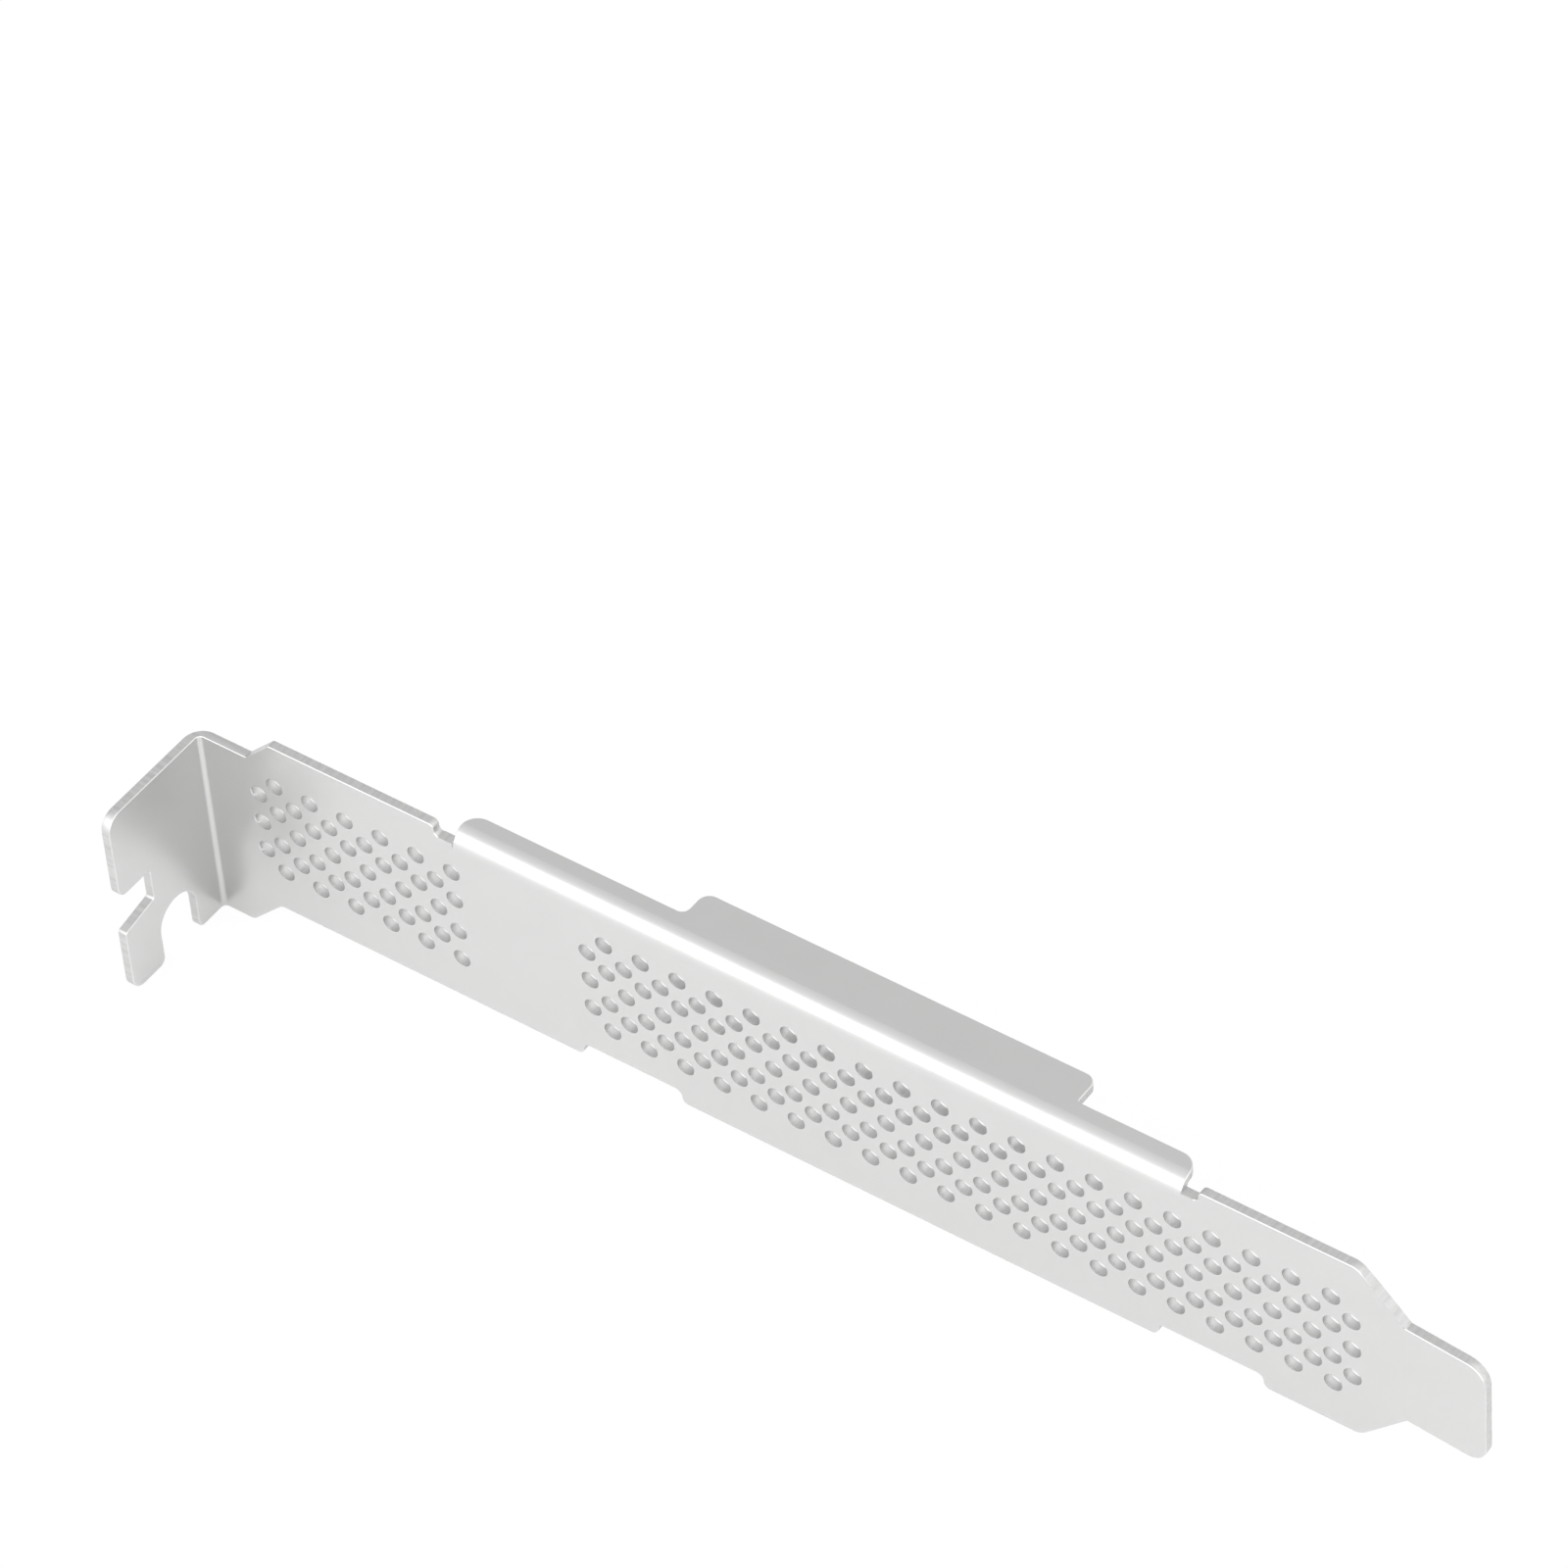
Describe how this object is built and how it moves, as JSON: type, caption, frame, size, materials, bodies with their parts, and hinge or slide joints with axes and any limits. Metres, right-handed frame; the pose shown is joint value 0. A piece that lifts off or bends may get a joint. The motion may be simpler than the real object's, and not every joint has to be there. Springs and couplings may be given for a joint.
{
  "type": "full height pcie bracket",
  "caption": "Plated steel end plate for an expansion card: a perforated strip with a screw tab, a stiffening flange and a bent tongue.",
  "frame": {"origin": "corner where the tab's outer side and the plate's outer face would meet, on the plate's middle line", "axes": "+X along the plate from the tab to the tongue, +Y from the plate's outer face towards the card, +Z across the plate towards the flange"},
  "size_m": [0.12, 0.0169, 0.0216],
  "materials": {
    "plated_steel": "smooth satin bright plating"
  },
  "bodies": {
    "root": {"bracket": "plated_steel"}
  },
  "joints": []
}
